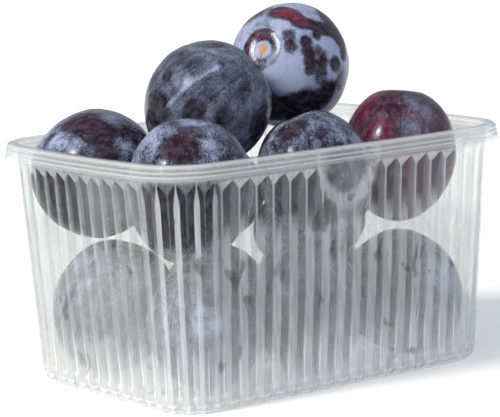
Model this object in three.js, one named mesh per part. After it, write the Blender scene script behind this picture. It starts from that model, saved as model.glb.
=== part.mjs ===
// Punnet of plums: a clear ribbed tray heaped with loose plums.
// Millimetres, +Z up. The origin is the middle of the tray's underside, +X runs along the tray.
import * as THREE from "three";
import { mergeVertices } from "three/addons/utils/BufferGeometryUtils.js";

// Tray, over its rim
const TRAY_LENGTH = 187;
const TRAY_WIDTH = 137;
const TRAY_HEIGHT = 103;
const SHEET = 0.5;
const RIM_CORNER = 24.6;
const CORNER_TIGHTENING = 0.7; // how much sharper the corners get for each millimetre of inset
const SIDE_BOW = 1.7;
const BOW_HEIGHT = 51.5; // where the bow of the sides has grown to its full size

// Insets are measured inwards from the rim's outer edge
const WALL_TOP_INSET = 4.9;
const WALL_FOOT_INSET = 10.6;
const BASE_INSET = 13.7;
const FOOT_HEIGHT = 9;
const FOOT_MIDDLE = 2.3;
const WALL_MIDDLE = 48;

// Upright flutes of the wall: a crest and a valley each
const LONG_SIDE_FLUTES = 16;
const SHORT_SIDE_FLUTES = 10;
const CORNER_FLUTES = 4;
const FLUTE_DEPTH = 1.5;
const FLUTE_TOP = 94.5;
const FLUTE_FULL = 90.5;
const FLUTE_AT_BASE = 0.4;

// Half-round lug in the middle of each long side, which keeps nested trays apart
const LUG_RADIUS = 17;
const LUG_TOP = 101;
const LUG_HEIGHT = 25;
const LUG_MIDDLE = 84;
const LUG_DEPTH = 2.4;
const LUG_CONE = 0.22;

// Down-turned skirt of the rim
const SKIRT_HEIGHT = 6.5;
const SKIRT_STEP = 0.6;
const SKIRT_STEP_HEIGHT = 4.2;
const SKIRT_STEP_SLOPE = 0.4;
const RIM_ROUND = 1.2;
const RIM_BEVEL = 0.7;

// Plums: each one's size, the place it's drawn to, and its stem axis (lean from upright, bearing, spin)
const GAP = 0.35;
const FLATTENING = 0.94; // thickness across the suture, as a share of the width
const APEX_TAPER = 0.07; // how much slimmer a plum is at its apex than at its middle
const STEM_DIMPLE_DEPTH = 2.6;
const STEM_DIMPLE_WIDTH = 0.3;
const SUTURE_DEPTH = 0.9;
const SUTURE_WIDTH = 0.22;
const PLUM_SEGMENTS = 20;
const PLUM_RINGS = 11;
const PLUMS = [
  { name: "lower_left_back", at: [-58, 33, 31], width: 56, length: 61, lean: 20, bearing: 325, spin: 50 },
  { name: "lower_left_front", at: [-50, -30, 30], width: 53, length: 57, lean: 30, bearing: 200, spin: 0 },
  { name: "lower_middle_front", at: [3, -30, 30], width: 53, length: 59, lean: 12, bearing: 95, spin: 0 },
  { name: "lower_right_front", at: [56, -28, 30], width: 55, length: 59, lean: 35, bearing: 140, spin: 130 },
  { name: "lower_middle_back", at: [-2, 29, 28], width: 52, length: 55, lean: 60, bearing: 70, spin: 0 },
  { name: "lower_right_back", at: [53, 30, 28], width: 52, length: 54, lean: 40, bearing: 20, spin: 0 },
  { name: "middle", at: [33, 0, 57], width: 43, length: 54, lean: 80, bearing: 350, spin: 90 },
  { name: "upper_left_back", at: [-66, 42, 89], width: 57, length: 57, lean: 85, bearing: 323, spin: 180 },
  { name: "upper_left_front", at: [-60, -35, 87], width: 57, length: 62, lean: 8, bearing: 250, spin: -27 },
  { name: "upper_middle_front", at: [5, -37, 88], width: 53, length: 57, lean: 20, bearing: 120, spin: 120 },
  { name: "upper_right_front", at: [56, -29, 89], width: 54, length: 60, lean: 12, bearing: 30, spin: 200 },
  { name: "upper_middle_back", at: [6, 40, 66], width: 46, length: 49, lean: 65, bearing: 160, spin: 0 },
  { name: "upper_right_back", at: [58, 34, 76], width: 46, length: 50, lean: 55, bearing: 310, spin: 0 },
  { name: "heap_left", at: [-32, 8, 108], width: 58, length: 57, lean: 56, bearing: 329, spin: -101 },
  { name: "heap_right", at: [35, 17, 127], width: 57, length: 58, lean: 68, bearing: 203, spin: 0 },
];
const SETTLE_ROUNDS = 2000;
const PULL = 0.02; // share of its way back to its place that a plum takes in each round
const CLEAR_ROUNDS = 2000;
const WALL_BEARINGS = 16;

const clearPlastic = new THREE.MeshStandardMaterial({ color: 0xdfe5e4, roughness: 0.2, metalness: 0 });
const plumSkin = new THREE.MeshStandardMaterial({ color: 0x3a2a3c, roughness: 0.45, metalness: 0 });

const COLUMNS = 2 * (2 * LONG_SIDE_FLUTES + 2 * SHORT_SIDE_FLUTES + 4 * CORNER_FLUTES);

// A point and its outward bearing on the tray's rounded outline, walked counter-clockwise from +X
function outlinePoint(column, inset, bow) {
  const radius = RIM_CORNER - CORNER_TIGHTENING * inset;
  let step = column % COLUMNS;
  for (let side = 0; side < 4; side += 1) {
    const isLong = side % 2 === 1;
    const out = (isLong ? TRAY_WIDTH : TRAY_LENGTH) / 2 - inset;
    const reach = (isLong ? TRAY_LENGTH : TRAY_WIDTH) / 2 - inset - radius;
    const straight = 2 * (isLong ? LONG_SIDE_FLUTES : SHORT_SIDE_FLUTES);
    const bearing = (side * Math.PI) / 2;
    if (step < straight) {
      const share = (2 * step) / straight - 1;
      const point = onBearing(bearing, out + bow * (1 - share * share), share * reach);
      return { point, bearing, lugAlong: isLong ? share * reach : Infinity };
    }
    step -= straight;
    if (step < 2 * CORNER_FLUTES) {
      const turned = bearing + (Math.PI / 4) * (step / CORNER_FLUTES);
      const point = onBearing(bearing, out - radius, reach);
      point.add(onBearing(turned, radius, 0));
      return { point, bearing: turned, lugAlong: Infinity };
    }
    step -= 2 * CORNER_FLUTES;
  }
  throw new Error("column past the outline");
}

function onBearing(bearing, out, along) {
  return new THREE.Vector2(out, along).rotateAround(new THREE.Vector2(), bearing);
}

// How much of a flute's full depth the wall has at a height
function fluteShare(z) {
  if (z >= FLUTE_FULL) {
    return Math.max(0, (FLUTE_TOP - z) / (FLUTE_TOP - FLUTE_FULL));
  }
  return THREE.MathUtils.clamp(z / FOOT_HEIGHT, FLUTE_AT_BASE, 1);
}

// How far the wall's relief goes in: the flutes, and the lug where it interrupts them
function reliefDepth(column, z, lugAlong) {
  const isValley = column % 2 === 1;
  const flute = isValley ? FLUTE_DEPTH * fluteShare(z) : 0;
  const lugReach = Math.hypot(lugAlong / LUG_RADIUS, (LUG_TOP - z) / LUG_HEIGHT);
  if (z > LUG_TOP || lugReach >= 1) {
    return flute;
  }
  return LUG_DEPTH * Math.min(1, (1 - lugReach) / LUG_CONE);
}

// How far the middle of a side bows out at a height
function bowAt(z) {
  return SIDE_BOW * THREE.MathUtils.smoothstep(z, 0, BOW_HEIGHT);
}

function wallInset(z) {
  const share = THREE.MathUtils.clamp((z - FOOT_HEIGHT) / (FLUTE_TOP - FOOT_HEIGHT), 0, 1);
  return THREE.MathUtils.lerp(WALL_FOOT_INSET, WALL_TOP_INSET, share);
}

// Inset of the rounded edge between base and wall
function footInset(z) {
  const drop = 1 - z / FOOT_HEIGHT;
  return WALL_FOOT_INSET + (BASE_INSET - WALL_FOOT_INSET) * (1 - Math.sqrt(1 - drop * drop));
}

// The wall's levels from the base up: inset, height, and whether the relief applies
function wallLevels(inward) {
  const levels = [];
  for (const z of [0, FOOT_MIDDLE, FOOT_HEIGHT]) {
    levels.push({ inset: footInset(z) + inward, z: Math.max(z, inward), relief: true });
  }
  for (const z of [WALL_MIDDLE, LUG_TOP - LUG_HEIGHT, LUG_MIDDLE, FLUTE_FULL, FLUTE_TOP]) {
    levels.push({ inset: wallInset(z) + inward, z, relief: true });
  }
  return levels;
}

// The rim's section, from the wall's outside over the skirt to the wall's inside
function rimLevels() {
  const top = TRAY_HEIGHT;
  const skirtFoot = top - SKIRT_HEIGHT;
  const stepTop = top - SKIRT_STEP_HEIGHT;
  const stepFoot = stepTop - SKIRT_STEP_SLOPE;
  return [
    { inset: WALL_TOP_INSET, z: top - SHEET },
    { inset: SKIRT_STEP + SHEET + RIM_BEVEL, z: top - SHEET },
    { inset: SKIRT_STEP + SHEET, z: stepFoot },
    { inset: SHEET, z: stepFoot - SKIRT_STEP_SLOPE },
    { inset: SHEET, z: skirtFoot },
    { inset: 0, z: skirtFoot },
    { inset: 0, z: stepFoot },
    { inset: SKIRT_STEP, z: stepTop },
    { inset: SKIRT_STEP, z: top - RIM_BEVEL },
    { inset: SKIRT_STEP + RIM_ROUND, z: top },
    { inset: WALL_TOP_INSET - RIM_BEVEL, z: top },
    { inset: WALL_TOP_INSET + SHEET, z: top - RIM_ROUND },
  ];
}

// One closed sheet of even thickness, turned like a lathe and then laid onto the outline
function trayGeometry() {
  const outside = wallLevels(0);
  const inside = wallLevels(SHEET).reverse();
  const levels = [{ z: 0, onAxis: true }, ...outside, ...rimLevels(), ...inside, { z: SHEET, onAxis: true }];
  const profile = levels.map((level) => new THREE.Vector2(level.onAxis ? 0 : 1, level.z));
  const geometry = new THREE.LatheGeometry(profile, COLUMNS);
  const position = geometry.getAttribute("position");
  for (let i = 0; i < position.count; i += 1) {
    const column = Math.floor(i / levels.length);
    const level = levels[i % levels.length];
    position.setXYZ(i, ...trayPoint(column, level));
  }
  return closed(geometry);
}

function trayPoint(column, level) {
  if (level.onAxis) {
    return [0, 0, level.z];
  }
  const { point, bearing, lugAlong } = outlinePoint(column, level.inset, bowAt(level.z));
  const depth = level.relief ? reliefDepth(column, level.z, lugAlong) : 0;
  const moved = point.sub(onBearing(bearing, depth, 0));
  return [moved.x, moved.y, level.z];
}

// Merges doubled vertices, so that the surface is one closed body
function closed(geometry) {
  geometry.deleteAttribute("normal");
  geometry.deleteAttribute("uv");
  const merged = mergeVertices(geometry, 1e-4);
  merged.computeVertexNormals();
  return merged;
}

// The turn that leans a plum's stem axis from +Z towards its bearing, after a spin about that axis
function turnOf(lean, bearing, spin) {
  const { degToRad } = THREE.MathUtils;
  const euler = new THREE.Euler(0, degToRad(lean), degToRad(bearing), "ZYX");
  const spun = new THREE.Quaternion().setFromAxisAngle(new THREE.Vector3(0, 0, 1), degToRad(spin));
  return new THREE.Quaternion().setFromEuler(euler).multiply(spun);
}

// A plum's surface points lie in its own frame, about its middle
function makePlum({ name, at, width, length, lean, bearing, spin }) {
  const geometry = plumGeometry(width / 2, length / 2);
  const position = geometry.getAttribute("position");
  const surface = Array.from({ length: position.count }, (_, i) => {
    return new THREE.Vector3().fromBufferAttribute(position, i);
  });
  const turn = turnOf(lean, bearing, spin);
  return { name, geometry, surface, turn, back: turn.clone().invert(), at: new THREE.Vector3(...at) };
}

// How far a plum reaches from its middle in a direction
function reach(plum, direction) {
  const own = direction.clone().applyQuaternion(plum.back);
  return plum.surface.reduce((far, point) => Math.max(far, point.dot(own)), 0);
}

// Pushes two plums apart along the line of their middles
function part(a, b) {
  const between = b.at.clone().sub(a.at);
  const direction = between.clone().normalize();
  const missing = reach(a, direction) + reach(b, direction.clone().negate()) + GAP - between.length();
  if (missing > 0) {
    a.at.addScaledVector(direction, -missing / 2);
    b.at.addScaledVector(direction, missing / 2);
  }
}

// Keeps a plum off the tray's floor, and off its walls and corners on every bearing
function keepInside(plum) {
  const inset = wallInset(plum.at.z) + FLUTE_DEPTH + SHEET + GAP;
  const radius = RIM_CORNER - CORNER_TIGHTENING * inset;
  for (let turn = 0; turn < WALL_BEARINGS; turn += 1) {
    const bearing = (2 * Math.PI * turn) / WALL_BEARINGS;
    const ahead = new THREE.Vector3(Math.cos(bearing), Math.sin(bearing), 0);
    const length = Math.abs(ahead.x) * (TRAY_LENGTH / 2 - inset - radius);
    const width = Math.abs(ahead.y) * (TRAY_WIDTH / 2 - inset - radius);
    const over = plum.at.dot(ahead) + reach(plum, ahead) - (length + width + radius);
    plum.at.addScaledVector(ahead, -Math.max(0, over));
  }
  plum.at.z = Math.max(plum.at.z, SHEET + GAP + reach(plum, new THREE.Vector3(0, 0, -1)));
}

// Draws the plums to their places and parts them, until they lie against each other
function settle(plums) {
  const places = plums.map((plum) => plum.at.clone());
  for (let round = 0; round < SETTLE_ROUNDS + CLEAR_ROUNDS; round += 1) {
    if (round < SETTLE_ROUNDS) {
      plums.forEach((plum, i) => plum.at.lerp(places[i], PULL));
    }
    plums.forEach((plum, i) => plums.slice(i + 1).forEach((other) => part(plum, other)));
    plums.forEach(keepInside);
  }
  return plums;
}

// A plum about its own middle, stem end at +Z, with the dimple of its stem and its suture
function plumGeometry(halfWidth, halfLength) {
  const geometry = new THREE.SphereGeometry(1, PLUM_SEGMENTS, PLUM_RINGS);
  geometry.rotateX(Math.PI / 2);
  const position = geometry.getAttribute("position");
  const point = new THREE.Vector3();
  for (let i = 0; i < position.count; i += 1) {
    point.fromBufferAttribute(position, i);
    const girth = Math.hypot(point.x, point.y);
    const side = Math.atan2(point.y, point.x) / SUTURE_WIDTH;
    const dimple = point.z > 0 ? STEM_DIMPLE_DEPTH * Math.exp(-((girth / STEM_DIMPLE_WIDTH) ** 2)) : 0;
    const suture = SUTURE_DEPTH * Math.exp(-side * side);
    const width = halfWidth * (1 + APEX_TAPER * Math.min(0, point.z)) - suture;
    position.setXYZ(i, point.x * width, point.y * width * FLATTENING, point.z * halfLength - dimple);
  }
  return closed(geometry);
}

function plumMesh(plum) {
  const mesh = new THREE.Mesh(plum.geometry, plumSkin);
  mesh.name = `plum_${plum.name}`;
  mesh.position.copy(plum.at);
  mesh.quaternion.copy(plum.turn);
  return mesh;
}

function trayMesh() {
  const mesh = new THREE.Mesh(trayGeometry(), clearPlastic);
  mesh.name = "tray";
  return mesh;
}

const punnet = new THREE.Group();
punnet.add(trayMesh());
punnet.add(...settle(PLUMS.map(makePlum)).map(plumMesh));

export default punnet;
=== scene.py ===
"""A punnet of plums: a clear fluted tray heaped with dark plums under a patchy bloom of wax."""

from math import cos, pi, radians, sin

import bpy
import numpy as np
from mathutils import Matrix, Vector


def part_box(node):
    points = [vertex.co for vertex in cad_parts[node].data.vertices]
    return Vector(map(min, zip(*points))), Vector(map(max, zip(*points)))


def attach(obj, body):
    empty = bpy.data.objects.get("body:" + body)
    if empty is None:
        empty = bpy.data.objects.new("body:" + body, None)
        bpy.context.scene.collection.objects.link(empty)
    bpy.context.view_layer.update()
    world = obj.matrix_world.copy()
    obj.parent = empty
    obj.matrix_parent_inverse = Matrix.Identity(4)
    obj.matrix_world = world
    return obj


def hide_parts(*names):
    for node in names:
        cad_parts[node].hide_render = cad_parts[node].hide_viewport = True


bl_info = {
    "name": "Punnet of plums",
    "version": (1, 0, 0),
    "blender": (4, 5, 0),
    "location": "3D View > Sidebar > Punnet",
    "description": "Models a clear fluted tray heaped with plums around its CAD frame",
    "category": "Add Mesh",
}

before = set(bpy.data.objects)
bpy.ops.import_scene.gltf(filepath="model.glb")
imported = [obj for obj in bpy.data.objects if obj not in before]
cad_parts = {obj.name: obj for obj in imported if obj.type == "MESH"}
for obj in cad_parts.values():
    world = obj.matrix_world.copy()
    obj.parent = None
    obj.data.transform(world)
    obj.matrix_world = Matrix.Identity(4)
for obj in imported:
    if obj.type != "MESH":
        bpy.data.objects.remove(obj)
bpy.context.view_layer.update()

MM = 0.001

# ---------------------------------------------------------------- the tray's driving sizes, in millimetres

TRAY_LENGTH = 187.0
TRAY_WIDTH = 137.0
TRAY_HEIGHT = 103.0
RIM_CORNER = 24.6
CORNER_TIGHTENING = 0.7
SIDE_BOW = 1.7
BOW_HEIGHT = 51.5

WALL_TOP_INSET = 4.9
WALL_FOOT_INSET = 10.6
BASE_INSET = 13.7
FOOT_HEIGHT = 9.0

LONG_SIDE_FLUTES = 16
SHORT_SIDE_FLUTES = 10
CORNER_FLUTES = 4
FLUTES = 2 * LONG_SIDE_FLUTES + 2 * SHORT_SIDE_FLUTES + 4 * CORNER_FLUTES
FLUTE_TOP = 94.5
FLUTE_FULL = 90.5
FLUTE_NARROWS = 85.0
FLUTE_AT_BASE = 0.4
# Half a groove's width, half its flat bottom, and its rounded edges, as shares of the pitch
GROOVE_HALF = 0.345
BOTTOM_HALF = 0.02
EDGE_ROUND = 0.02
VALLEY_LINE = 0.03  # how far past its bottom a groove's painted highlight line fades out

LUG_RADIUS = 17.0
LUG_TOP = 101.0
LUG_HEIGHT = 25.0
LUG_DEPTH = 2.4
LUG_CONE = 0.22

SKIRT_HEIGHT = 6.5

# Share of light that one face scatters, on the short sides, in the corners and on the long sides. The lands
# are whiter than the grooves, partly as scuffing and partly as painted reflection of the white room, and on
# the long sides one flank of each groove is whiter, a painted reflection.
FOG_GROOVES_HIGH = np.array((0.010, 0.0, 0.06))
FOG_GROOVES_LOW = np.array((0.19, 0.15, 0.13))
FLANK_FOG_AND_REFLECTION_TOP = np.array((0.010, 0.0, 0.04))
FLANK_FOG_AND_REFLECTION_HIGH = np.array((0.010, 0.0, 0.28))
FLANK_FOG_AND_REFLECTION_LOW = np.array((0.21, 0.15, 0.33))
LAND_FOG_AND_REFLECTION_TOP = np.array((0.03, 0.34, 0.09))
LAND_FOG_AND_REFLECTION_HIGH = np.array((0.03, 0.34, 0.13))
LAND_FOG_AND_REFLECTION_LOW = np.array((0.23, 0.38, 0.14))
# Painted highlights along the lands' edges
EDGE_HIGHLIGHT = np.array((0.08, 0.38, 0.12))
# Painted highlights down the grooves' bottoms
VALLEY_HIGHLIGHT = np.array((0.26, 0.06, 0.38))
FOG_RISE = np.array((5.0, 11.0, 15.0))  # how much further up the fog reaches, millimetres
FOG_LOW, FOG_HIGH = 52.0, 62.0  # heights between which the fog ends
# Heights over which the whitening of the lands and flanks, partly scuffing and partly painted reflection,
# fades out upwards
WHITENING_LOW, WHITENING_HIGH = 66.0, 80.0
FOG_EDGE_SWAY = 3.0
FOG_NEAR_CORNER = 0.1  # more on the half of a short side next to the corner seen in front
FOG_FOOT, FOG_FOOT_HEIGHT = 0.24, 34.0
# The flutes end in bright arcs, painted highlights: their lowest point, how far they rise and half their
# width, in millimetres
FOOT_ARC_LOW, FOOT_ARC_RISE = 2.8, 4.4
FOOT_ARC_HALF = 0.9
FOOT_ARC_HIGHLIGHT = 0.5
FOOT_LINE = 1.0  # painted highlight line round the base's edge
FOG_ENDS = np.array((0.32, 0.10, 0.28))  # on the flutes' upper ends
FOG_BAND = 0.22  # on the plain band above them
FOG_LUG, FOG_LUG_EDGE = 0.10, 0.38

# ---------------------------------------------------------------- the plums

PLUM_FLATTENING = 0.94
APEX_TAPER = 0.07
STEM_DIMPLE_DEPTH = 2.6
STEM_DIMPLE_WIDTH = 0.3
SUTURE_DEPTH = 0.9
SUTURE_WIDTH = 0.22

# Width and length in millimetres, and how the stem axis lies: lean from upright, bearing, spin in degrees
PLUM_FORMS = {
    "plum_lower_left_back": (56, 61, 20, 325, 50),
    "plum_lower_left_front": (53, 57, 30, 200, 0),
    "plum_lower_middle_front": (53, 59, 12, 95, 0),
    "plum_lower_right_front": (55, 59, 35, 140, 130),
    "plum_lower_middle_back": (52, 55, 60, 70, 0),
    "plum_lower_right_back": (52, 54, 40, 20, 0),
    "plum_middle": (43, 54, 80, 350, 90),
    "plum_upper_left_back": (57, 57, 85, 323, 180),
    "plum_upper_left_front": (57, 62, 8, 250, -27),
    "plum_upper_middle_front": (53, 57, 20, 120, 120),
    "plum_upper_right_front": (54, 60, 12, 30, 200),
    "plum_upper_middle_back": (46, 49, 65, 160, 0),
    "plum_upper_right_back": (46, 50, 55, 310, 0),
    "plum_heap_left": (58, 57, 56, 329, -101),
    "plum_heap_right": (57, 58, 68, 203, 0),
}

# How thick the wax lies and how wine-red the skin is, where nothing has rubbed it, how powdery the wax is and
# how patchy
PLUM_SKINS = {
    "plum_upper_left_back": (0.36, 0.25, 1.1, 1.25),
    "plum_upper_left_front": (0.44, 0.2, 1.6, 1.15),
    "plum_upper_middle_front": (0.48, 0.1, 1.2, 1.2),
    "plum_upper_right_front": (0.14, 1.25, 0.6, 0.7),
    "plum_heap_left": (0.40, -0.1, 0.8, 0.72),
    "plum_heap_right": (1.05, 0.2, 0.9, 0.85),
}
PLAIN_SKIN = (0.5, 0.0, 1.1, 1.0)

# Where a plum's bloom is rubbed off or thicker: bearing and height of the spot, its radius, all in
# degrees, then the change in wax and in wine-red. The broad spots low on the upper plums' fronts are painted
# shade: bare, darker skin where shade falls.
RUBBED_AND_SHADED = {
    "plum_heap_right": (
        (214, 64, 11, -1.3, 1.1), (236, 59, 10, -1.3, 1.3), (249, 49, 9, -1.3, 1.2), (150, 60, 16, -1.1, 0.1),
        (316, 44, 18, -1.6, 0.0), (318, 22, 15, -1.4, 0.0), (263, 45, 7, -1.2, 0.5), (276, 40, 8, -1.3, 0.2),
        (292, 37, 9, -1.4, 0.0), (297, 26, 7, -1.2, 0.0), (298, 12, 7, -1.1, 0.0), (264, 33, 5, -0.9, 0.3),
        (266, 7, 6, -0.6, 0.1), (262, -6, 8, -0.7, 0.1),
        (232, 33, 7, -0.8, 0.3), (233, 23, 6, -0.8, 0.3),
        (250, 28, 6, -1.1, 0.3), (250, 18, 6, -1.1, 0.3), (250, 9, 6, -1.1, 0.3), (250, 1, 5, -1.0, 0.3),
        (262, 15, 9, -0.7, 0.2), (261, 2, 8, -0.6, 0.1), (281, 4, 8, -1.2, -0.1), (292, -13, 10, -1.2, -0.1),
        (243, -36, 20, -1.6, -0.2), (272, -24, 14, -1.2, -0.2), (204, -40, 22, -1.5, -0.2),
        (201, -4, 6, -0.7, 0.1), (229, -4, 16, 0.3, 0.0), (275, 24, 9, 0.2, 0.0), (180, 5, 14, 0.2, 0.0),
    ),
    "plum_heap_left": (
        (180, 2, 15, -0.75, 0.3), (188, 32, 5, -0.7, 0.1), (222, 1, 10, -0.55, 0.1),
        (248, -5, 9, -0.4, 0.1), (293, -17, 15, -0.8, 0.0), (251, 43, 3, -0.4, 0.0),
        (255, 50, 18, 0.1, 0.0), (281, 11, 14, 0.1, 0.0), (273, 20, 6, -0.1, 0.4),
    ),
    "plum_upper_left_front": (
        (311, 83, 14, 0.5, 0.0), (215, 45, 13, -0.55, 0.35), (233, 43, 13, -0.5, 0.3),
        (238, 60, 12, -0.25, 0.3), (263, 43, 11, 0.35, 0.0), (286, 40, 15, -0.15, 0.15),
        # The last spot on this line and the spot below are painted shade on the plum's lower front
        (318, 36, 14, 0.4, 0.0), (168, 45, 22, 0.3, 0.0), (215, -12, 38, -0.8, -0.5),
        (262, -8, 34, -0.6, -0.5),
    ),
    "plum_upper_left_back": (
        (217, 63, 17, -0.4, 0.3), (240, 47, 15, -0.5, 0.4), (279, 42, 14, -0.35, 0.25),
        (251, 32, 12, -0.4, 0.3), (193, 35, 14, 0.4, 0.0), (265, 31, 9, 0.5, 0.0),
        # The last spot on this line is painted shade on the plum's lower front
        (153, 39, 14, 0.3, 0.0), (192, 51, 12, 0.0, 0.3), (200, -20, 45, -0.5, -0.3),
    ),
    "plum_upper_middle_front": (
        (194, 53, 14, -0.5, 0.4), (191, 40, 10, -0.25, 0.2), (240, 48, 6, -0.6, 0.1), (260, 31, 7, -0.5, 0.1),
        # The last spot on this line is painted shade on the plum's lower front
        (298, 32, 16, 0.3, 0.0), (155, 82, 14, 0.25, 0.0), (230, -10, 38, -0.6, -0.3),
    ),
    "plum_upper_right_front": (
        (260, 56, 16, 0.22, -0.1), (267, 36, 22, 0.2, 0.1), (189, 66, 20, -0.3, -0.2),
        (172, 53, 14, -0.4, 0.5), (146, 64, 16, -0.3, 0.5), (213, 26, 16, -0.4, 0.3),
        (146, 48, 14, 0.1, 0.1), (238, 27, 14, 0.25, -0.2),
    ),
}

# Streaks of thicker bloom: bearing and height of both ends and half the width, in degrees, then the change
# in wax
STREAKS = {
    "plum_heap_left": ((181, -10, 249, 40, 2.6, 0.4), (205, 66, 260, 52, 5.0, 0.25)),
}

# Small corky scars: bearing and height of the spot and its radius, in degrees
CORKY = {
    "plum_upper_right_front": ((235, 59, 1.0), (248, 44, 1.3), (292, 28, 1.9)),
}
CORKY_SHARE = 0.55  # how far the small scars reach the full colour of cork
NO_SCAR = ("plum_upper_left_front", "plum_lower_left_front")  # the stem's scar lies under the wax

STEM_SCAR_IN, STEM_SCAR_OUT = 1.5, 2.7  # between which the scar fades out, millimetres
STEM_RING_IN, STEM_RING_OUT = 4.8, 9.2  # of the ring of bare skin round the stem's scar, millimetres
BARE_RING = {"plum_heap_right": 1.9}
PLAIN_RING = 0.3
RING_WINE = 0.6  # how much redder the bare ring is, per unit of wax that it lacks
BARE_RING_TURN = radians(225)  # the side of the ring that is barest, in the plum's own coordinates

SPOTS_PER_PLUM = 16  # rubbed and thicker spots on the sides that the picture doesn't show
SEED = 7

# ---------------------------------------------------------------- the view

PICTURE_WIDTH = 500
FOCAL_PIXELS = 2567.98
SENSOR_WIDTH = 36.0
VIEW_BEARING = radians(-37.05)
VIEW_HEIGHT = radians(8.8)
VIEW_ROLL = radians(-2.06)
VIEW_DISTANCE = 1169.19 * MM
VIEW_TARGET = Vector((35.71, 50.92, 60.0)) * MM
TOWARDS_VIEW = np.array(
    (sin(VIEW_BEARING) * cos(VIEW_HEIGHT), -cos(VIEW_BEARING) * cos(VIEW_HEIGHT), sin(VIEW_HEIGHT))
)
KEY_DIRECTION = (-0.785, 0.035, 0.618)  # from the plums to the middle of the key light
FILL_DIRECTION = (-0.45, -0.85, 0.28)


# ---------------------------------------------------------------- small helpers


def linear(hex_colour):
    """An sRGB hex colour such as "7f8c99" as linear red, green, blue and alpha."""
    shares = [int(hex_colour[i : i + 2], 16) / 255 for i in (0, 2, 4)]
    return tuple(s / 12.92 if s <= 0.04045 else ((s + 0.055) / 1.055) ** 2.4 for s in shares) + (1.0,)


def smoothstep(low, high, value):
    share = np.clip((value - low) / (high - low), 0.0, 1.0)
    return share * share * (3 - 2 * share)


def add_node(tree, kind, inputs=None, **settings):
    """Adds a node, sets it, and gives its sockets values or links."""
    node = tree.nodes.new(kind)
    for name, value in settings.items():
        setattr(node, name, value)
    for socket, value in (inputs or {}).items():
        if isinstance(value, bpy.types.NodeSocket):
            tree.links.new(value, node.inputs[socket])
        else:
            node.inputs[socket].default_value = value
    return node


def new_material(name):
    material = bpy.data.materials.new(name)
    material.use_nodes = True
    material.node_tree.nodes.clear()
    return material, material.node_tree


def begin_mesh():
    """Leaves object mode with nothing selected, so that the next operator acts on the new piece alone."""
    if bpy.context.object and bpy.context.object.mode != "OBJECT":
        bpy.ops.object.mode_set(mode="OBJECT")
    bpy.ops.object.select_all(action="DESELECT")


def stand_for(piece, node):
    """Lets the piece ride on the body and take the node's place."""
    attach(piece, "root")
    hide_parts(node)


# ---------------------------------------------------------------- the tray's shape


def outline(turns, inset, bow):
    """Points and outward bearings on the tray's rounded outline, for places counted in flutes from +X."""
    radius = RIM_CORNER - CORNER_TIGHTENING * inset
    points = np.zeros((len(turns), 2))
    bearings = np.zeros(len(turns))
    along_long = np.full(len(turns), np.inf)
    start = 0
    for side in range(4):
        is_long = side % 2 == 1
        out = (TRAY_WIDTH if is_long else TRAY_LENGTH) / 2 - inset
        reach = (TRAY_LENGTH if is_long else TRAY_WIDTH) / 2 - inset - radius
        straight = LONG_SIDE_FLUTES if is_long else SHORT_SIDE_FLUTES
        bearing = side * pi / 2
        ahead = np.array((cos(bearing), sin(bearing)))
        left = np.array((-sin(bearing), cos(bearing)))
        here = (turns >= start) & (turns < start + straight)
        share = 2 * (turns[here] - start) / straight - 1
        outwards = out + bow * (1 - share**2)
        points[here] = outwards[:, None] * ahead + (share * reach)[:, None] * left
        bearings[here] = bearing
        if is_long:
            along_long[here] = share * reach
        start += straight
        here = (turns >= start) & (turns < start + CORNER_FLUTES)
        turned = bearing + (pi / 2) * (turns[here] - start) / CORNER_FLUTES
        round_out = np.stack((np.cos(turned), np.sin(turned)), 1) * radius
        points[here] = ahead * (out - radius) + left * reach + round_out
        bearings[here] = turned
        start += CORNER_FLUTES
    return points, bearings, along_long


def flute_columns(z):
    """The places of a ring's points at a height, in flutes, how far each is from its groove's middle, and
    half the groove's width and half its bottom's."""
    narrowing = smoothstep(FLUTE_NARROWS, FLUTE_TOP, z)
    groove = GROOVE_HALF + (0.5 - EDGE_ROUND - 0.002 - GROOVE_HALF) * narrowing
    ending = np.clip((z - FLUTE_FULL) / (FLUTE_TOP - FLUTE_FULL), 0, 1)
    bottom = BOTTOM_HALF + (groove - EDGE_ROUND - VALLEY_LINE - 0.005 - BOTTOM_HALF) * ending
    half = np.array((bottom, bottom + VALLEY_LINE, groove - EDGE_ROUND, groove + EDGE_ROUND))
    offsets = np.concatenate((-half[::-1], half, (0.5,)))
    places = np.arange(FLUTES)[:, None] + 0.5 + offsets
    return (places % FLUTES).ravel(), np.tile(offsets, FLUTES), groove, bottom


def relief(z, across, groove, bottom, along_long, flute_depth):
    """How far the wall goes in at each point of a ring: its grooves, and the lug where it interrupts them."""
    share = np.clip(z / FOOT_HEIGHT, FLUTE_AT_BASE, 1)
    if z > FLUTE_FULL:
        share = max(0.0, (FLUTE_TOP - z) / (FLUTE_TOP - FLUTE_FULL))
    sides = np.clip((groove - np.abs(across)) / (groove - bottom), 0, 1)
    depth = flute_depth * share * sides
    if z > LUG_TOP:
        return depth
    lug = np.hypot(along_long / LUG_RADIUS, (LUG_TOP - z) / LUG_HEIGHT)
    sunk = np.clip((1 - lug) / LUG_CONE, 0, 1)
    return depth * (1 - sunk) + LUG_DEPTH * sunk


def wall_inset(z):
    share = np.clip((z - FOOT_HEIGHT) / (FLUTE_TOP - FOOT_HEIGHT), 0, 1)
    return WALL_FOOT_INSET + (WALL_TOP_INSET - WALL_FOOT_INSET) * share


def foot_inset(z):
    drop = 1 - z / FOOT_HEIGHT
    return WALL_FOOT_INSET + (BASE_INSET - WALL_FOOT_INSET) * (1 - np.sqrt(1 - drop * drop))


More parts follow.
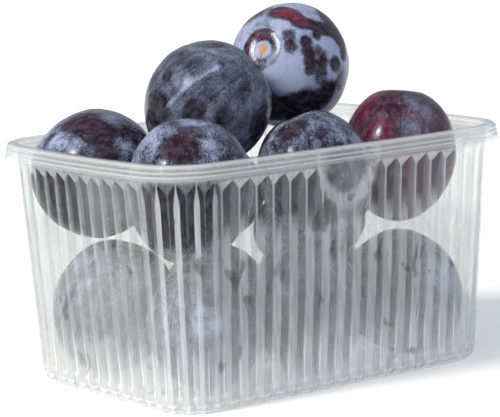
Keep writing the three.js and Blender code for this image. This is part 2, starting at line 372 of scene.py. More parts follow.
def tray_levels(sheet):
    """Inset and height of each ring of the sheet's outer face, from the base over the wall to the skirt."""
    top = TRAY_HEIGHT - sheet
    foot = [(foot_inset(z), z) for z in (0.0, 0.3, 0.7, 1.2, 1.9, 2.7, 3.5, 4.3, 5.1, 6.0, 7.0, 8.0, 9.0)]
    heights = [12, 16, 22, 29, 36, 43, 49, 54, 58, 62, 66, 70, 74, 78]
    heights += list(np.arange(80.6, 90.4, 0.99)) + list(np.arange(90.5, 94.6, 1.0))
    heights += [95.3, 96.6, 98, 99.4, 100.9, 101.2]
    wall = foot + [(wall_inset(z), z) for z in heights]
    # Under the flange and down the skirt's inner face, which has two ridges and a lip at its foot. The third
    # number is the fog, and on the ridges a painted highlight on top of it; the grooves between them are
    # clearer.
    rim = [
        (4.75, top - 0.25, 0.22), (4.4, top, 0.26), (3.2, top, 0.12), (2.1, top, 0.18),
        (1.55, top - 0.2, 0.34),
        (1.2, top - 0.75, 0.32), (1.12, top - 1.4, 0.10), (1.45, top - 1.8, 0.02), (1.5, top - 2.1, 0.02),
        (1.15, top - 2.4, 0.22), (0.95, top - 2.8, 0.34), (1.15, top - 3.3, 0.10), (1.25, top - 3.7, 0.02),
        (0.85, top - 4.1, 0.16), (0.55, top - 4.6, 0.36), (0.5, top - 5.2, 0.12),
        (0.5, top - SKIRT_HEIGHT + sheet, 0.16),
    ]
    return wall, rim


def ring_points(inset, z, relieved, flute_depth, rim_haze_and_highlight=0.0):
    """The points of one ring, in metres, and the fog and painted highlights on the sheet at each of them."""
    turns, across, groove, bottom = flute_columns(z)
    bow = SIDE_BOW * smoothstep(0, BOW_HEIGHT, z)
    points, bearings, along_long = outline(turns, inset, bow)
    if relieved:
        depth = relief(z, across, groove, bottom, along_long, flute_depth)
        points -= depth[:, None] * np.stack((np.cos(bearings), np.sin(bearings)), 1)
    haze_and_highlight = np.full(len(points), rim_haze_and_highlight)
    if relieved:
        haze_and_highlight = sheet_haze_and_highlight(z, turns, across, groove, bottom, along_long)
    return np.column_stack((points, np.full(len(points), z))) * MM, haze_and_highlight


def sheet_haze_and_highlight(z, turns, across, groove, bottom, along_long):
    """The share of light that one face scatters. It is fogged low down, more on the short sides. Its outer
    lands, which rub on other trays, are whitened partly as scuffing and partly as painted reflection; on the
    long sides one flank of each groove is whitened as painted reflection; and painted highlights run along
    the lands' edges, the grooves' bottoms and the flutes' feet."""
    along = turns % (FLUTES / 2)  # one short side, a corner, one long side and a corner
    short = 1 - smoothstep(SHORT_SIDE_FLUTES - 0.5, SHORT_SIDE_FLUTES + 0.7, along)
    short = short + smoothstep(FLUTES / 2 - 0.7, FLUTES / 2, along)
    long_start = SHORT_SIDE_FLUTES + CORNER_FLUTES
    long_end = long_start + LONG_SIDE_FLUTES
    from_start = smoothstep(long_start - 0.5, long_start + 1.0, along)
    to_end = 1 - smoothstep(long_end - 1.0, long_end + 0.5, along)
    long = from_start * to_end
    kinds = np.stack((short, 1 - short - long, long)).T
    low = 1 - smoothstep(FOG_LOW, FOG_HIGH, z - kinds @ FOG_RISE + fog_edge(turns))
    whitened = 1 - smoothstep(WHITENING_LOW, WHITENING_HIGH, z)

    def by_height(top, high, low_down):
        upper = kinds @ top * (1 - whitened) + kinds @ high * whitened
        return upper * (1 - low) + kinds @ low_down * low

    haze_and_highlight = by_height(FOG_GROOVES_HIGH, FOG_GROOVES_HIGH, FOG_GROOVES_LOW)
    # On the long sides one flank of each groove is whitened, a painted reflection of the white room
    flank_fog_and_reflection = by_height(FLANK_FOG_AND_REFLECTION_TOP, FLANK_FOG_AND_REFLECTION_HIGH, FLANK_FOG_AND_REFLECTION_LOW)
    haze_and_highlight = np.where(across > bottom + VALLEY_LINE / 2, flank_fog_and_reflection, haze_and_highlight)
    # The lands are whitened, partly as scuffing and partly as painted reflection of the white room
    land_fog_and_reflection = by_height(LAND_FOG_AND_REFLECTION_TOP, LAND_FOG_AND_REFLECTION_HIGH, LAND_FOG_AND_REFLECTION_LOW)
    haze_and_highlight = np.where(np.abs(across) > groove, land_fog_and_reflection, haze_and_highlight)
    # Painted highlights: bright lines along the lands' edges
    at_edge = (np.abs(across) > groove) & (np.abs(across) < groove + 1.5 * EDGE_ROUND)
    haze_and_highlight = np.where(at_edge, np.maximum(haze_and_highlight, kinds @ EDGE_HIGHLIGHT), haze_and_highlight)
    # Painted highlights: bright lines down the grooves' bottoms
    at_bottom = np.abs(across) < bottom + VALLEY_LINE / 2
    haze_and_highlight = np.where(at_bottom, np.maximum(haze_and_highlight, kinds @ VALLEY_HIGHLIGHT), haze_and_highlight)
    haze_and_highlight = haze_and_highlight + FOG_NEAR_CORNER * short * smoothstep(3.5, 6.0, along) * (1 - low)
    haze_and_highlight = haze_and_highlight + FOG_FOOT * (1 - smoothstep(2, FOG_FOOT_HEIGHT, z))
    # Painted highlights: bright arcs where the flutes end at the foot, a line round the base's edge, and the
    # grooves' bottoms brightened just above the arcs
    arc = FOOT_ARC_LOW + FOOT_ARC_RISE * (1 - np.sin(pi * np.abs(across)))
    off_line = np.minimum(np.abs(z - arc), np.abs(z - FOOT_LINE))
    haze_and_highlight = haze_and_highlight + FOOT_ARC_HIGHLIGHT * np.clip(1 - off_line / FOOT_ARC_HALF, 0, 1)
    above_arcs = (1 - smoothstep(12, 30, z)) * smoothstep(FOOT_ARC_LOW, FOOT_ARC_LOW + FOOT_ARC_RISE, z)
    haze_and_highlight = np.where(at_bottom, haze_and_highlight + FOOT_ARC_HIGHLIGHT * above_arcs, haze_and_highlight)
    if z > FLUTE_FULL:
        haze_and_highlight = np.where(at_bottom | (z > FLUTE_TOP - 0.01), np.maximum(kinds @ FOG_ENDS, haze_and_highlight), haze_and_highlight)
    if z > FLUTE_TOP:
        haze_and_highlight = np.full(len(turns), FOG_BAND)
    depth_in = 1 - np.hypot(along_long / LUG_RADIUS, (LUG_TOP - z) / LUG_HEIGHT)
    if z > LUG_TOP:
        return haze_and_highlight
    inside = smoothstep(LUG_CONE - 0.04, LUG_CONE + 0.1, depth_in)
    ring = smoothstep(-0.02, 0.06, depth_in) * (1 - inside)
    return haze_and_highlight * (1 - ring - inside) + FOG_LUG_EDGE * ring + FOG_LUG * inside


def fog_edge(turns):
    """How much lower the fog ends at each place round the tray, in millimetres."""
    rng = np.random.default_rng(SEED)
    drop = rng.normal(0, FOG_EDGE_SWAY, FLUTES * 2)
    places = np.arange(FLUTES * 2 + 1) / 2
    return np.interp(turns, places, np.append(drop, drop[0]))


def model_tray(settings):
    """A ring of edges is drawn up level by level, each laid onto the outline, then closed at the foot and
    given its thickness. The rings follow the outer face: up the wall, out under the flange, down in the
    skirt."""
    sheet = settings.sheet / MM
    wall, rim = tray_levels(sheet)
    rings = [ring_points(inset, z, True, settings.flute_depth / MM) for inset, z in wall]
    rings += [ring_points(inset, z, False, 0.0, haze_and_highlight) for inset, z, haze_and_highlight in rim]
    count = len(rings[0][0])
    begin_mesh()
    bpy.ops.mesh.primitive_circle_add(vertices=count, radius=TRAY_WIDTH / 2 * MM, fill_type="NOTHING")
    tray = bpy.context.object
    tray.name = tray.data.name = "formed_tray"
    order = np.arange(count)
    lay_ring(tray.data, order, rings[0][0])
    haze_and_highlight = np.zeros(count * len(rings))
    haze_and_highlight[order] = rings[0][1]
    for ring, ring_haze_and_highlight in rings[1:]:
        bpy.ops.object.mode_set(mode="EDIT")
        bpy.ops.mesh.extrude_edges_move()
        bpy.ops.object.mode_set(mode="OBJECT")
        order = drawn_up(tray.data, order)
        lay_ring(tray.data, order, ring)
        haze_and_highlight[order] = ring_haze_and_highlight
    write_attribute(tray.data, "haze_and_highlight", haze_and_highlight)
    close_foot(tray, count)
    thicken = tray.modifiers.new("sheet", "SOLIDIFY")
    thicken.thickness = settings.sheet
    thicken.offset = 1.0
    bpy.ops.object.modifier_apply(modifier=thicken.name)
    bpy.ops.object.shade_smooth_by_angle(angle=radians(40))
    crisp = tray.modifiers.new("flat_lands", "WEIGHTED_NORMAL")
    crisp.keep_sharp = True
    bpy.ops.object.modifier_apply(modifier=crisp.name)
    return tray


def drawn_up(mesh, below):
    """The newly extruded ring's vertices, each above its partner in the ring below."""
    first = len(mesh.vertices) - len(below)
    ends = np.zeros(len(mesh.edges) * 2, int)
    mesh.edges.foreach_get("vertices", ends)
    ends = np.sort(ends.reshape(-1, 2), axis=1)
    risers = ends[(ends[:, 0] < first) & (ends[:, 1] >= first)]
    partner = dict(risers.tolist())
    return np.array([partner[i] for i in below.tolist()])


def read_points(mesh):
    flat = np.zeros(len(mesh.vertices) * 3)
    mesh.vertices.foreach_get("co", flat)
    return flat.reshape(-1, 3)


def write_points(mesh, points):
    mesh.vertices.foreach_set("co", np.ascontiguousarray(points).ravel())
    mesh.update()


def lay_ring(mesh, order, ring):
    points = read_points(mesh)
    points[order] = ring
    write_points(mesh, points)


def close_foot(tray, count):
    """Fills the lowest ring and turns every face towards the side on which the sheet lies."""
    select = np.zeros(len(tray.data.vertices), bool)
    select[:count] = True
    bpy.ops.object.mode_set(mode="EDIT")
    bpy.ops.mesh.select_mode(type="VERT")
    bpy.ops.mesh.select_all(action="DESELECT")
    bpy.ops.object.mode_set(mode="OBJECT")
    tray.data.vertices.foreach_set("select", select)
    bpy.ops.object.mode_set(mode="EDIT")
    bpy.ops.mesh.edge_face_add()
    bpy.ops.mesh.select_all(action="SELECT")
    bpy.ops.mesh.normals_make_consistent(inside=False)
    bpy.ops.object.mode_set(mode="OBJECT")
    foot = max(tray.data.polygons, key=lambda face: len(face.vertices))
    if foot.normal.z < 0:
        bpy.ops.object.mode_set(mode="EDIT")
        bpy.ops.mesh.flip_normals()
        bpy.ops.object.mode_set(mode="OBJECT")


def clear_sheet(settings):
    """Thermoformed clear PET, a sheet pressed hot over a mould. It is nearly invisible face on, mirrors the
    white room where a facet is seen edge on, and is fogged and scuffed towards its foot."""
    material, tree = new_material("thermoformed_clear_pet")
    place = add_node(tree, "ShaderNodeTexCoord").outputs["Object"]
    # The fog attribute also carries the painted highlights and the painted reflection on the lands and flanks
    # The fog is streaked upwards, in streaks 1.5 mm wide and 30 mm tall, and has holes about 8 mm wide
    haze_and_highlight = add_node(tree, "ShaderNodeAttribute", attribute_name="haze_and_highlight").outputs["Fac"]
    thin = add_node(tree, "ShaderNodeMapping", {"Vector": place, "Scale": (650.0, 650.0, 33.0)}).outputs[0]
    streaks = add_node(tree, "ShaderNodeTexNoise", {"Vector": thin, "Scale": 1.0, "Detail": 2.0}).outputs[0]
    streaked = add_node(
        tree, "ShaderNodeMapRange", {0: streaks, 1: 0.25, 2: 0.75, 3: 0.7, 4: 1.3}
    ).outputs[0]
    tall = add_node(tree, "ShaderNodeMapping", {"Vector": place, "Scale": (120.0, 120.0, 60.0)}).outputs[0]
    spots = add_node(
        tree, "ShaderNodeTexNoise", {"Vector": tall, "Scale": 1.0, "Detail": 3.0, "Distortion": 0.8}
    ).outputs[0]
    holes = add_node(
        tree, "ShaderNodeMapRange", {0: spots, 1: 0.33, 2: 0.39, 3: 0.45, 4: 1.0},
        interpolation_type="SMOOTHSTEP",
    ).outputs[0]
    uneven = add_node(tree, "ShaderNodeMath", {0: streaked, 1: holes}, operation="MULTIPLY").outputs[0]
    height = add_node(tree, "ShaderNodeSeparateXYZ", {0: place}).outputs["Z"]
    on_wall = add_node(
        tree, "ShaderNodeMapRange", {0: height, 1: 95 * MM, 2: 97 * MM, 3: 1.0, 4: 0.0}
    ).outputs[0]
    uneven = add_node(tree, "ShaderNodeMix", {0: on_wall, 2: 1.0, 3: uneven}, data_type="FLOAT").outputs[0]
    haze_and_highlight_share = add_node(
        tree, "ShaderNodeMath", {0: haze_and_highlight, 1: uneven}, operation="MULTIPLY", use_clamp=True
    ).outputs[0]

    # The sheet wobbles a little, as thin formings do: swells about 25 mm across and 0.15 mm high
    swell = add_node(tree, "ShaderNodeTexNoise", {"Vector": place, "Scale": 40.0, "Detail": 1.0}).outputs[0]
    wobble = add_node(
        tree, "ShaderNodeBump", {"Height": swell, "Strength": 1.0, "Distance": 0.15 * MM}
    ).outputs[0]

    grazing = add_node(tree, "ShaderNodeLayerWeight", {"Blend": 0.5, "Normal": wobble}).outputs["Facing"]
    steep = add_node(tree, "ShaderNodeMath", {0: grazing, 1: 5.0}, operation="POWER").outputs[0]
    mirror = add_node(
        tree, "ShaderNodeMath", {0: steep, 1: 0.99, 2: 0.008}, operation="MULTIPLY_ADD", use_clamp=True
    ).outputs[0]

    through = add_node(tree, "ShaderNodeBsdfTransparent", {"Color": settings.tint}).outputs[0]
    haze_and_highlight_front = add_node(tree, "ShaderNodeBsdfDiffuse", {"Color": settings.haze_and_highlight}).outputs[0]
    haze_and_highlight_back = add_node(tree, "ShaderNodeBsdfTranslucent", {"Color": settings.haze_and_highlight}).outputs[0]
    haze_and_highlight_shader = add_node(tree, "ShaderNodeMixShader", {0: 0.3, 1: haze_and_highlight_front, 2: haze_and_highlight_back}).outputs[0]
    sheet = add_node(tree, "ShaderNodeMixShader", {0: haze_and_highlight_share, 1: through, 2: haze_and_highlight_shader}).outputs[0]
    gloss = add_node(
        tree, "ShaderNodeBsdfGlossy",
        {"Color": settings.gloss, "Roughness": settings.roughness, "Normal": wobble},
    ).outputs[0]
    surface = add_node(tree, "ShaderNodeMixShader", {0: mirror, 1: sheet, 2: gloss}).outputs[0]
    add_node(tree, "ShaderNodeOutputMaterial", {"Surface": surface})
    return material


# ---------------------------------------------------------------- the plums' shape and skin


def pointing(bearing, height):
    """Unit vector at a bearing from +X and a height above level, in degrees."""
    b, h = radians(bearing), radians(height)
    return np.array((cos(b) * cos(h), sin(b) * cos(h), sin(h)))


def plum_points(ball, width, length):
    """The unit ball drawn out to a plum, stem end up, with its dimple and the cleft down its +X side."""
    x, y, z = ball.T
    girth = np.hypot(x, y)
    dimple = np.where(z > 0, STEM_DIMPLE_DEPTH * np.exp(-((girth / STEM_DIMPLE_WIDTH) ** 2)), 0.0)
    cleft = SUTURE_DEPTH * np.exp(-((np.arctan2(y, x) / SUTURE_WIDTH) ** 2))
    across = width / 2 * (1 + APEX_TAPER * np.minimum(0, z)) - cleft
    return np.column_stack((x * across, y * across * PLUM_FLATTENING, z * length / 2 - dimple))


def spot_weight(outwards, direction, radius):
    """1 inside a spot and 0 outside it, with a soft edge, for directions from the plum's middle."""
    apart = np.degrees(np.arccos(np.clip(outwards @ direction, -1, 1)))
    return 1 - smoothstep(0.6 * radius, 1.3 * radius, apart)


def streak_weight(outwards, start, end, half):
    """1 along the middle of a streak between two directions and 0 beyond its edge."""
    side = np.cross(start, end)
    side /= np.linalg.norm(side)
    length = np.degrees(np.arccos(start @ end))
    along = np.degrees(np.arctan2(outwards @ np.cross(side, start), outwards @ start))
    past_end = np.maximum(0, np.abs(along - length / 2) - length / 2)
    aside = np.degrees(np.arcsin(np.abs(outwards @ side)))
    return 1 - smoothstep(0.3 * half, half, np.hypot(aside, past_end))


def unseen_spots(name, rng):
    """Rubbed and thicker spots on the sides that the picture doesn't show."""
    spots = []
    while len(spots) < SPOTS_PER_PLUM:
        direction = rng.normal(size=3)
        direction /= np.linalg.norm(direction)
        radius = rng.uniform(6, 22)
        rubbed = rng.random() < 0.7
        wax = rng.uniform(-1.1, -0.4) if rubbed else rng.uniform(0.3, 0.6)
        wine = rng.uniform(0.0, 0.5) if rubbed else 0.0
        if name not in RUBBED_AND_SHADED or direction @ TOWARDS_VIEW < 0.05:
            spots.append((direction, radius, wax, wine))
    return spots


def write_attribute(mesh, name, values):
    is_vector = values.ndim == 2
    attribute = mesh.attributes.new(name, "FLOAT_VECTOR" if is_vector else "FLOAT", "POINT")
    attribute.data.foreach_set("vector" if is_vector else "value", np.ascontiguousarray(values).ravel())


def shape_plum(plum, name, settings, number):
    """Shapes the ball's copy, writes where its wax is thick or rubbed and where painted shade bares it, and
    puts it in its node's place.
    """
    width, length, lean, bearing, spin = PLUM_FORMS[name]
    rng = np.random.default_rng(SEED + number)
    own = plum_points(read_points(plum.data), width, length)
    turn = (
        Matrix.Rotation(radians(bearing), 3, "Z")
        @ Matrix.Rotation(radians(lean), 3, "Y")
        @ Matrix.Rotation(radians(spin), 3, "Z")
    )
    placed = own @ np.array(turn).T
    outwards = placed / np.linalg.norm(placed, axis=1)[:, None]

    wax_level, wine_level, powder, patchy = PLUM_SKINS.get(name, PLAIN_SKIN)
    wax = np.full(len(own), wax_level + settings.wax)
    wine = np.full(len(own), wine_level)
    # Some listed spots bare the skin low on a plum's front as painted shade
    shown = [(pointing(b, h), r, dw, dr) for b, h, r, dw, dr in RUBBED_AND_SHADED.get(name, ())]
    for direction, radius, wax_change, wine_change in shown + unseen_spots(name, rng):
        weight = spot_weight(outwards, direction, radius)
        wax += wax_change * weight
        wine += wine_change * weight
    for b0, h0, b1, h1, half, wax_change in STREAKS.get(name, ()):
        wax += wax_change * streak_weight(outwards, pointing(b0, h0), pointing(b1, h1), half)
    from_stem = np.where(own[:, 2] > 0, np.hypot(own[:, 0], own[:, 1]), 99.0)
    ring = smoothstep(STEM_RING_IN - 1, STEM_RING_IN, from_stem) - smoothstep(
        STEM_RING_OUT - 1, STEM_RING_OUT + 1, from_stem
    )
    round_stem = np.arctan2(own[:, 1], own[:, 0])
    bare_ring = BARE_RING.get(name, PLAIN_RING) * ring * (0.68 + 0.32 * np.cos(round_stem - BARE_RING_TURN))
    wax -= bare_ring
    wine += RING_WINE * bare_ring
    cork = 1 - smoothstep(STEM_SCAR_IN, STEM_SCAR_OUT, from_stem + 0.5 * np.sin(3 * round_stem))
    if name in NO_SCAR:
        cork *= 0
    for b, h, radius in CORKY.get(name, ()):
        cork = np.maximum(cork, CORKY_SHARE * spot_weight(outwards, pointing(b, h), radius))

    write_attribute(plum.data, "own", own + rng.uniform(-500, 500, 3))
    write_attribute(plum.data, "wax", wax)
    write_attribute(plum.data, "wine", wine)
    write_attribute(plum.data, "cork", cork)
    write_attribute(plum.data, "powder", np.full(len(own), powder))
    write_attribute(plum.data, "patchy", np.full(len(own), patchy))
    write_attribute(plum.data, "seam", np.where(own[:, 0] > 0, own[:, 1], width))

    low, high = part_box(name)
    middle = (np.array(low) + np.array(high)) / 2
    centred = placed - (placed.min(0) + placed.max(0)) / 2
    write_points(plum.data, centred * MM + middle)


def model_plums(settings):
    """One ball is made, and each plum is a copy of it with its own form, uneven as the fruit is."""
    begin_mesh()
    bpy.ops.mesh.primitive_ico_sphere_add(subdivisions=6, radius=1.0)
    ball = bpy.context.object
    swelling = bpy.data.textures.new("uneven_growth", "CLOUDS")
    swelling.noise_scale = settings.swelling_size
    plums = []
    for number, name in enumerate(PLUM_FORMS):
        plum = ball.copy()
        plum.data = ball.data.copy()
        plum.name = plum.data.name = "ripe_" + name
        bpy.context.collection.objects.link(plum)
        shape_plum(plum, name, settings, number)
        begin_mesh()
        plum.select_set(True)
        bpy.context.view_layer.objects.active = plum
        uneven = plum.modifiers.new("uneven_growth", "DISPLACE")
        uneven.texture = swelling
        uneven.texture_coords = "LOCAL"
        uneven.mid_level = 1.0  # so that a plum only shrinks from its CAD form
        uneven.strength = settings.swelling
        bpy.ops.object.modifier_apply(modifier=uneven.name)
        bpy.ops.object.shade_smooth()
        plums.append((plum, name))
    bpy.data.objects.remove(ball)
    return plums


def waxed_skin(settings):
    """Ripe plum skin under its natural wax, grown and never polished. The skin is near black and glossy where
    a thumb or a neighbour rubbed it and where painted shade bares it low down, and blue-grey and dull where
    the bloom is left."""
    material, tree = new_material("ripe_plum_skin_with_wax_bloom")
    own = add_node(tree, "ShaderNodeAttribute", attribute_name="own").outputs["Vector"]
    wax = add_node(tree, "ShaderNodeAttribute", attribute_name="wax").outputs["Fac"]
    wine = add_node(tree, "ShaderNodeAttribute", attribute_name="wine").outputs["Fac"]
    cork = add_node(tree, "ShaderNodeAttribute", attribute_name="cork").outputs["Fac"]
    seam = add_node(tree, "ShaderNodeAttribute", attribute_name="seam").outputs["Fac"]
    powder = add_node(tree, "ShaderNodeAttribute", attribute_name="powder").outputs["Fac"]
    patchy = add_node(tree, "ShaderNodeAttribute", attribute_name="patchy").outputs["Fac"]

    # The own coordinates are millimetres, so a noise's scale is one over its patches' size in millimetres.
    # The finest wax is a powder, drawn as coarse as 0.8 mm so that it shows.
    drawn = add_node(tree, "ShaderNodeMapping", {"Vector": own, "Scale": (1.0, 1.0, 0.6)}).outputs[0]
    broad = add_node(tree, "ShaderNodeTexNoise", {"Vector": own, "Scale": 1 / 16, "Detail": 2.0}).outputs[0]
    blotch = add_node(
        tree, "ShaderNodeTexNoise",
        {"Vector": drawn, "Scale": 1 / 5, "Detail": 5.0, "Roughness": 0.65, "Distortion": 0.5},
    ).outputs[0]
    speck = add_node(
        tree, "ShaderNodeTexNoise", {"Vector": drawn, "Scale": 1 / 0.8, "Detail": 1.0, "Roughness": 0.7}
    ).outputs[0]

    # Each noise is 0.5 on average, so it thickens the wax as often as it thins it
    doubly = add_node(tree, "ShaderNodeMath", {0: patchy, 1: 2.0}, operation="MULTIPLY").outputs[0]
    thickness = wax
    for noise, strength in ((broad, patchy), (blotch, doubly), (speck, powder)):
        around_nought = add_node(tree, "ShaderNodeMath", {0: noise, 1: 0.5}, operation="SUBTRACT").outputs[0]
        thickness = add_node(
            tree, "ShaderNodeMath", {0: around_nought, 1: strength, 2: thickness}, operation="MULTIPLY_ADD"
        ).outputs[0]
    cover = add_node(
        tree, "ShaderNodeMapRange", {0: thickness, 1: -0.05, 2: 1.05, 3: 0.0, 4: 0.93},
        interpolation_type="SMOOTHSTEP",
    ).outputs[0]
    # Where the bloom is rubbed off, a thin mottled veil of it is left, its mottles about 2.5 mm across
    film = add_node(
        tree, "ShaderNodeTexNoise", {"Vector": drawn, "Scale": 1 / 2.5, "Detail": 3.0, "Roughness": 0.6}
    ).outputs[0]
    veil = add_node(
        tree, "ShaderNodeMapRange", {0: film, 1: 0.42, 2: 0.75, 3: 0.0, 4: 0.24}
    ).outputs[0]
    cover = add_node(tree, "ShaderNodeMath", {0: cover, 1: veil}, operation="MAXIMUM").outputs[0]
    thick = add_node(
        tree, "ShaderNodeMapRange", {0: thickness, 1: 0.6, 2: 1.25}, interpolation_type="SMOOTHSTEP"
    ).outputs[0]

    mottled = add_node(
        tree, "ShaderNodeMath", {0: blotch, 1: 1.6, 2: wine}, operation="MULTIPLY_ADD"
    ).outputs[0]
    redness = add_node(tree, "ShaderNodeMath", {0: mottled, 1: 0.3}, operation="SUBTRACT").outputs[0]
    wine_share = add_node(tree, "ShaderNodeMapRange", {0: redness, 1: 0.5, 2: 1.4}).outputs[0]
    crimson_share = add_node(tree, "ShaderNodeMapRange", {0: redness, 1: 1.5, 2: 2.6}).outputs[0]
    skin = add_node(
        tree, "ShaderNodeMix", {0: wine_share, 6: settings.skin, 7: settings.wine}, data_type="RGBA"
    ).outputs[2]
    skin = add_node(
        tree, "ShaderNodeMix", {0: crimson_share, 6: skin, 7: settings.crimson}, data_type="RGBA"
    ).outputs[2]
    # Pores: pale dots about 0.5 mm across and 2.6 mm apart
    pores = add_node(tree, "ShaderNodeTexVoronoi", {"Vector": own, "Scale": 1 / 2.6}).outputs["Distance"]
    pore = add_node(
        tree, "ShaderNodeMapRange", {0: pores, 1: 0.06, 2: 0.16, 3: 0.55, 4: 0.0}
    ).outputs[0]
    skin = add_node(
        tree, "ShaderNodeMix", {0: pore, 6: skin, 7: settings.pores}, data_type="RGBA"
    ).outputs[2]
    bloom = add_node(
        tree, "ShaderNodeMix", {0: thick, 6: settings.thin_bloom, 7: settings.thick_bloom}, data_type="RGBA"
    ).outputs[2]
    colour = add_node(tree, "ShaderNodeMix", {0: cover, 6: skin, 7: bloom}, data_type="RGBA").outputs[2]
    # The bottom of the cleft is a dark line 0.4 mm wide, painted shade in the crease
    off_seam = add_node(tree, "ShaderNodeMath", {0: seam}, operation="ABSOLUTE").outputs[0]
    seam_shade = add_node(
        tree, "ShaderNodeMapRange", {0: off_seam, 1: 0.1, 2: 0.45, 3: 0.6, 4: 0.0}
    ).outputs[0]
    colour = add_node(
        tree, "ShaderNodeMix", {0: seam_shade, 6: colour, 7: settings.skin}, data_type="RGBA"
    ).outputs[2]
    colour = add_node(
        tree, "ShaderNodeMix", {0: cork, 6: colour, 7: settings.cork}, data_type="RGBA"
    ).outputs[2]

    roughness = add_node(tree, "ShaderNodeMapRange", {0: cover, 1: 0.0, 2: 0.9, 3: 0.17, 4: 0.38}).outputs[0]
    relief = add_node(
        tree, "ShaderNodeMath", {0: blotch, 1: 2.0, 2: speck}, operation="MULTIPLY_ADD"
    ).outputs[0]
    bump = add_node(
        tree, "ShaderNodeBump", {"Height": relief, "Strength": 0.6, "Distance": 0.07 * MM}
    ).outputs[0]
    surface = add_node(
        tree, "ShaderNodeBsdfPrincipled",
        {
            "Base Color": colour, "Roughness": roughness, "IOR": 1.4, "Normal": bump,
            "Specular Tint": settings.wax_gloss,
            "Sheen Weight": 0.05, "Sheen Roughness": 0.5, "Sheen Tint": settings.thick_bloom,
        },
    ).outputs[0]
    add_node(tree, "ShaderNodeOutputMaterial", {"Surface": surface})
    return material


# ---------------------------------------------------------------- the stage


def lay_floor(settings):
    begin_mesh()
    bpy.ops.mesh.primitive_plane_add(size=20.0)
    floor = bpy.context.object
    floor.name = floor.data.name = "pale_floor"
    material, tree = new_material("matt_white_board")
    surface = add_node(
        tree, "ShaderNodeBsdfPrincipled",
        {
            "Base Color": settings.floor, "Roughness": 0.9,
            "Emission Color": settings.floor, "Emission Strength": settings.floor_glow,
        },
    ).outputs[0]
    add_node(tree, "ShaderNodeOutputMaterial", {"Surface": surface})
    floor.data.materials.append(material)


def set_lights(settings):
    lights = (
        ("soft_key", KEY_DIRECTION, settings.key_strength, settings.key_spread, settings.key_colour),
        ("broad_fill", FILL_DIRECTION, settings.fill_strength, settings.fill_spread, settings.room),
    )
    for name, direction, strength, spread, colour in lights:
        bpy.ops.object.light_add(type="SUN")
        light = bpy.context.object
        light.name = light.data.name = name
        light.data.energy = strength
        light.data.angle = spread
        light.data.color = colour[:3]
        light.rotation_euler = Vector(direction).to_track_quat("Z", "Y").to_euler()
    world = bpy.data.worlds.new("pale_room")
    world.use_nodes = True
    tree = world.node_tree
    tree.nodes.clear()
    sky = add_node(
        tree, "ShaderNodeBackground", {"Color": settings.room, "Strength": settings.room_strength}
    ).outputs[0]
    add_node(tree, "ShaderNodeOutputWorld", {"Surface": sky})
    bpy.context.scene.world = world


def set_camera():
    towards = Vector(TOWARDS_VIEW)
    level_right = (-towards).cross(Vector((0, 0, 1))).normalized()
    level_up = level_right.cross(-towards)
    right = level_right * cos(VIEW_ROLL) + level_up * sin(VIEW_ROLL)
    up = level_up * cos(VIEW_ROLL) - level_right * sin(VIEW_ROLL)
    turn = Matrix((right, up, towards)).transposed()
    bpy.ops.object.camera_add(location=VIEW_TARGET + towards * VIEW_DISTANCE, rotation=turn.to_euler())
    camera = bpy.context.object
    camera.name = camera.data.name = "camera"
    camera.data.sensor_width = SENSOR_WIDTH
    camera.data.lens = FOCAL_PIXELS * SENSOR_WIDTH / PICTURE_WIDTH
    camera.data.clip_end = 100.0
    bpy.context.scene.camera = camera


# ---------------------------------------------------------------- settings, operators and panel


class TraySettings(bpy.types.PropertyGroup):
    """Sizes and finish of the tray."""

    sheet: bpy.props.FloatProperty(
        name="Sheet", description="Thickness of the formed sheet", default=0.5 * MM, unit="LENGTH"
    )
    flute_depth: bpy.props.FloatProperty(
        name="Flute depth", description="How deep the grooves of the wall are", default=1.5 * MM,
        unit="LENGTH",
    )
    roughness: bpy.props.FloatProperty(
        name="Roughness", description="Of the sheet's gloss", default=0.08, subtype="FACTOR"
    )
    tint: bpy.props.FloatVectorProperty(
        name="Tint", description="What one face of the sheet lets through", size=4, subtype="COLOR",
        default=linear("fbfcfb"),
    )
    gloss: bpy.props.FloatVectorProperty(
        name="Gloss", description="Colour of what the sheet mirrors", size=4, subtype="COLOR",
        default=linear("eef4fa"),
    )
    # Colour of the fog and of the painted highlights and painted reflection on the sheet
    haze_and_highlight: bpy.props.FloatVectorProperty(
        name="Fog", description="Colour of the fogged and scuffed sheet", size=4, subtype="COLOR",
        default=linear("f8f8f8"),
    )


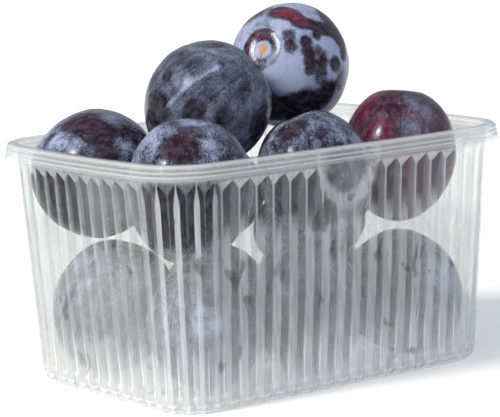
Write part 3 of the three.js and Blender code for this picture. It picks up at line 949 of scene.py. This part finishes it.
class PlumSettings(bpy.types.PropertyGroup):
    """Form and colours of the plums."""

    swelling: bpy.props.FloatProperty(
        name="Unevenness", description="How far a plum's skin dips from its plain form", default=1.2 * MM,
        unit="LENGTH",
    )
    swelling_size: bpy.props.FloatProperty(
        name="Unevenness size", description="How wide the dips are", default=22 * MM, unit="LENGTH"
    )
    wax: bpy.props.FloatProperty(
        name="Wax", description="How much more bloom lies on every plum", default=0.0
    )
    skin: bpy.props.FloatVectorProperty(
        name="Skin", description="Darkest skin", size=4, subtype="COLOR", default=linear("1a0d16")
    )
    wine: bpy.props.FloatVectorProperty(
        name="Wine", description="Maroon skin", size=4, subtype="COLOR", default=linear("32101d")
    )
    crimson: bpy.props.FloatVectorProperty(
        name="Crimson", description="Reddest skin", size=4, subtype="COLOR", default=linear("6e1a2e")
    )
    pores: bpy.props.FloatVectorProperty(
        name="Pores", description="Pale dots in the skin", size=4, subtype="COLOR", default=linear("8c6c66")
    )
    cork: bpy.props.FloatVectorProperty(
        name="Cork", description="Scars and the stem's end", size=4, subtype="COLOR", default=linear("c47c2c")
    )
    wax_gloss: bpy.props.FloatVectorProperty(
        name="Wax gloss", description="Colour of the skin's gloss", size=4, subtype="COLOR",
        default=linear("c8d8f2"),
    )
    thin_bloom: bpy.props.FloatVectorProperty(
        name="Thin bloom", description="Wax where it is thin", size=4, subtype="COLOR",
        default=linear("7c879f"),
    )
    thick_bloom: bpy.props.FloatVectorProperty(
        name="Thick bloom", description="Wax where it is thick", size=4, subtype="COLOR",
        default=linear("a6b0cc"),
    )


class StageSettings(bpy.types.PropertyGroup):
    """Floor and light."""

    floor: bpy.props.FloatVectorProperty(
        name="Floor", description="Colour of the floor", size=4, subtype="COLOR", default=linear("f4f4f2")
    )
    floor_glow: bpy.props.FloatProperty(
        name="Floor glow", description="Light from under the floor, as on a light table", default=0.25
    )
    key_strength: bpy.props.FloatProperty(name="Key", description="Strength of the key light", default=2.7)
    key_spread: bpy.props.FloatProperty(
        name="Key spread", description="How wide the key light looks", default=radians(11), subtype="ANGLE"
    )
    fill_strength: bpy.props.FloatProperty(
        name="Fill", description="Strength of the fill light from the front", default=0.6
    )
    fill_spread: bpy.props.FloatProperty(
        name="Fill spread", description="How wide the fill light looks", default=radians(70), subtype="ANGLE"
    )
    key_colour: bpy.props.FloatVectorProperty(
        name="Key colour", description="Colour of the key light", size=4, subtype="COLOR",
        default=linear("fff8ee"),
    )
    room: bpy.props.FloatVectorProperty(
        name="Room", description="Colour of the light from the room", size=4, subtype="COLOR",
        default=linear("e8f0ff"),
    )
    room_strength: bpy.props.FloatProperty(
        name="Room light", description="Strength of the light from the room", default=0.48
    )


class MakeTray(bpy.types.Operator):
    """Model the clear fluted tray"""

    bl_idname = "punnet.tray"
    bl_label = "Tray"

    def execute(self, context):
        settings = context.scene.punnet_tray
        tray = model_tray(settings)
        tray.data.materials.append(clear_sheet(settings))
        stand_for(tray, "tray")
        return {"FINISHED"}


class MakePlums(bpy.types.Operator):
    """Model the plums that fill the tray and heap over its rim"""

    bl_idname = "punnet.plums"
    bl_label = "Plums"

    def execute(self, context):
        settings = context.scene.punnet_plums
        skin = waxed_skin(settings)
        for plum, node in model_plums(settings):
            plum.data.materials.clear()
            plum.data.materials.append(skin)
            stand_for(plum, node)
        return {"FINISHED"}


class MakeStage(bpy.types.Operator):
    """Lay the floor, set the lights and place the camera"""

    bl_idname = "punnet.stage"
    bl_label = "Stage"

    def execute(self, context):
        settings = context.scene.punnet_stage
        lay_floor(settings)
        set_lights(settings)
        set_camera()
        context.scene.view_settings.view_transform = "Standard"
        context.scene.cycles.transparent_max_bounces = 24
        return {"FINISHED"}


class PunnetPanel(bpy.types.Panel):
    """The punnet's settings and the operators that make it"""

    bl_idname = "VIEW3D_PT_punnet"
    bl_label = "Punnet of plums"
    bl_space_type = "VIEW_3D"
    bl_region_type = "UI"
    bl_category = "Punnet"

    def draw(self, context):
        scene = context.scene
        for operator, settings in (
            (MakeTray, scene.punnet_tray),
            (MakePlums, scene.punnet_plums),
            (MakeStage, scene.punnet_stage),
        ):
            box = self.layout.box()
            box.operator(operator.bl_idname)
            for name in settings.__annotations__:
                box.prop(settings, name)


CLASSES = (TraySettings, PlumSettings, StageSettings, MakeTray, MakePlums, MakeStage, PunnetPanel)


def register():
    for cls in CLASSES:
        bpy.utils.register_class(cls)
    bpy.types.Scene.punnet_tray = bpy.props.PointerProperty(type=TraySettings)
    bpy.types.Scene.punnet_plums = bpy.props.PointerProperty(type=PlumSettings)
    bpy.types.Scene.punnet_stage = bpy.props.PointerProperty(type=StageSettings)


def unregister():
    del bpy.types.Scene.punnet_stage
    del bpy.types.Scene.punnet_plums
    del bpy.types.Scene.punnet_tray
    for cls in reversed(CLASSES):
        bpy.utils.unregister_class(cls)


def main():
    register()
    bpy.ops.punnet.stage()
    bpy.ops.punnet.tray()
    bpy.ops.punnet.plums()
    begin_mesh()


if __name__ == "__main__":
    main()
